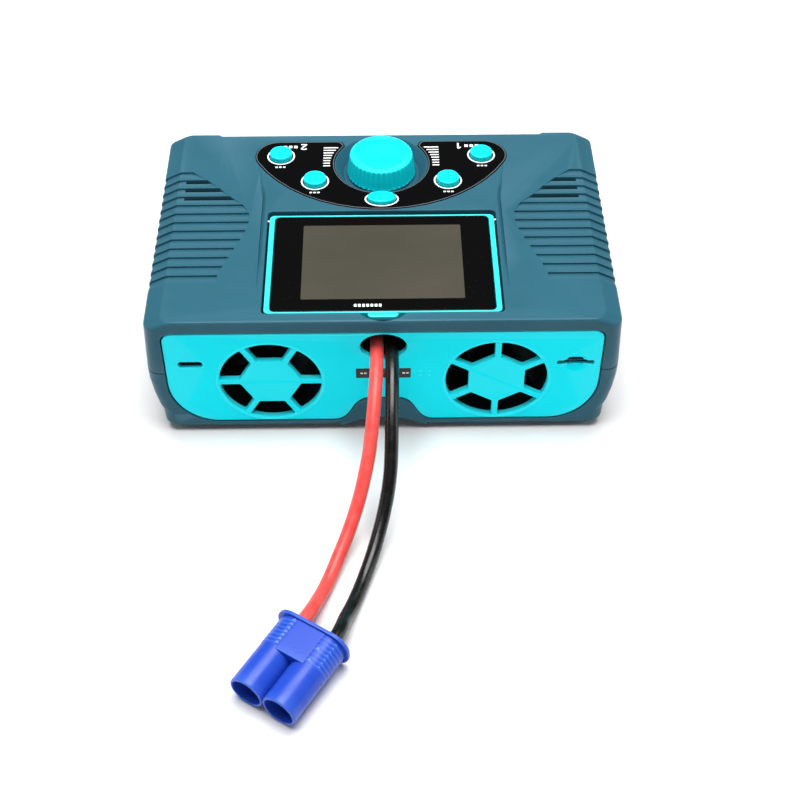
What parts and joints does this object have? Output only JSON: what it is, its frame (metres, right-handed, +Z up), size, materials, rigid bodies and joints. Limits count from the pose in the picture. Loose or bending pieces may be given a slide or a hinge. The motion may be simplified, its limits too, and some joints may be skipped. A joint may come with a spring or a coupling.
{
  "type": "balance battery charger",
  "caption": "Benchtop balance battery charger with tilting display, push-turn knob, domed buttons, side grips, cooling fans and short input leads ending in a shrouded plug.",
  "frame": {"origin": "middle of the case's footprint, on the surface that the rubber feet stand on", "axes": "+X to the right seen from the fan side, +Y from the fan side to the side with the output sockets, +Z up"},
  "size_m": [0.1744, 0.2446, 0.0613],
  "materials": {
    "case_plastic": "fine moulded texture",
    "panel_plastic": "smooth satin",
    "knob_plastic": "smooth satin",
    "overlay_film": "smooth gloss",
    "display_glass": "polished black",
    "lcd_grey": "satin",
    "black_plastic": "satin",
    "rubber": "matte",
    "steel": "satin",
    "aluminium": "extruded",
    "brass": "plated",
    "circuit_board": "solder mask",
    "ferrite": "sintered",
    "red_silicone": "soft matte",
    "black_silicone": "soft matte",
    "plug_plastic": "smooth satin"
  },
  "bodies": {
    "case": {"top_shell": "case_plastic", "bottom_shell": "case_plastic", "fan_panel": "panel_plastic", "output_panel": "panel_plastic", "control_overlay": "overlay_film", "hinge_pin_left": "steel", "hinge_pin_right": "steel", "encoder_body": "black_plastic", "switch_mode_1": "steel", "switch_status_1": "steel", "switch_tab": "steel", "switch_status_2": "steel", "switch_mode_2": "steel", "switch_board": "circuit_board", "main_board": "circuit_board", "fan_frame_left": "black_plastic", "heatsink_left": "aluminium", "fan_frame_right": "black_plastic", "heatsink_right": "aluminium", "inductor_1": "ferrite", "capacitor_1": "black_plastic", "inductor_2": "ferrite", "capacitor_2": "black_plastic", "buzzer": "black_plastic", "usb_socket": "steel", "card_socket": "steel", "output_socket_1": "black_plastic", "balance_socket_1": "black_plastic", "balance_socket_2": "black_plastic", "output_socket_2": "black_plastic", "rubber_foot_1": "rubber", "case_screw_1": "steel", "rubber_foot_2": "rubber", "case_screw_2": "steel", "rubber_foot_3": "rubber", "case_screw_3": "steel", "rubber_foot_4": "rubber", "case_screw_4": "steel", "cable_grommet": "rubber", "red_lead": "red_silicone", "black_lead": "black_silicone", "plug_housing": "plug_plastic", "plug_contact_1": "brass", "plug_contact_2": "brass"},
    "display": {"display_frame": "panel_plastic", "display_glass": "display_glass", "lcd_module": "lcd_grey"},
    "knob_plunger": {"encoder_plunger": "brass"},
    "knob": {"control_knob": "knob_plastic", "encoder_shaft": "aluminium"},
    "fan_left": {"fan_rotor_left": "black_plastic"},
    "fan_right": {"fan_rotor_right": "black_plastic"},
    "button_mode_1": {"button_mode_1": "knob_plastic"},
    "button_status_1": {"button_status_1": "knob_plastic"},
    "button_tab": {"button_tab": "knob_plastic"},
    "button_status_2": {"button_status_2": "knob_plastic"},
    "button_mode_2": {"button_mode_2": "knob_plastic"}
  },
  "joints": [
    {"name": "display_flip", "type": "hinge", "parent": "case", "child": "display", "pos_m": [0, 0.0022, 0.0542], "axis": [-1, 0, 0], "range_deg": [0, 60]},
    {"name": "knob_press", "type": "slide", "parent": "case", "child": "knob_plunger", "axis": [0, 0, -1], "range_m": [0, 0.0005], "stiffness_N_per_m": 1500},
    {"name": "knob_turn", "type": "hinge", "parent": "knob_plunger", "child": "knob", "pos_m": [0, 0.0358, 0.0575], "axis": [0, 0, 1], "continuous": true},
    {"name": "fan_left_spin", "type": "hinge", "parent": "case", "child": "fan_left", "pos_m": [-0.0419, -0.046, 0.026], "axis": [0, 1, 0], "continuous": true},
    {"name": "fan_right_spin", "type": "hinge", "parent": "case", "child": "fan_right", "pos_m": [0.0419, -0.046, 0.026], "axis": [0, 1, 0], "continuous": true},
    {"name": "mode_1_press", "type": "slide", "parent": "case", "child": "button_mode_1", "axis": [0, 0, -1], "range_m": [0, 0.0008], "stiffness_N_per_m": 1500},
    {"name": "status_1_press", "type": "slide", "parent": "case", "child": "button_status_1", "axis": [0, 0, -1], "range_m": [0, 0.0008], "stiffness_N_per_m": 1500},
    {"name": "tab_press", "type": "slide", "parent": "case", "child": "button_tab", "axis": [0, 0, -1], "range_m": [0, 0.0008], "stiffness_N_per_m": 1500},
    {"name": "status_2_press", "type": "slide", "parent": "case", "child": "button_status_2", "axis": [0, 0, -1], "range_m": [0, 0.0008], "stiffness_N_per_m": 1500},
    {"name": "mode_2_press", "type": "slide", "parent": "case", "child": "button_mode_2", "axis": [0, 0, -1], "range_m": [0, 0.0008], "stiffness_N_per_m": 1500}
  ]
}
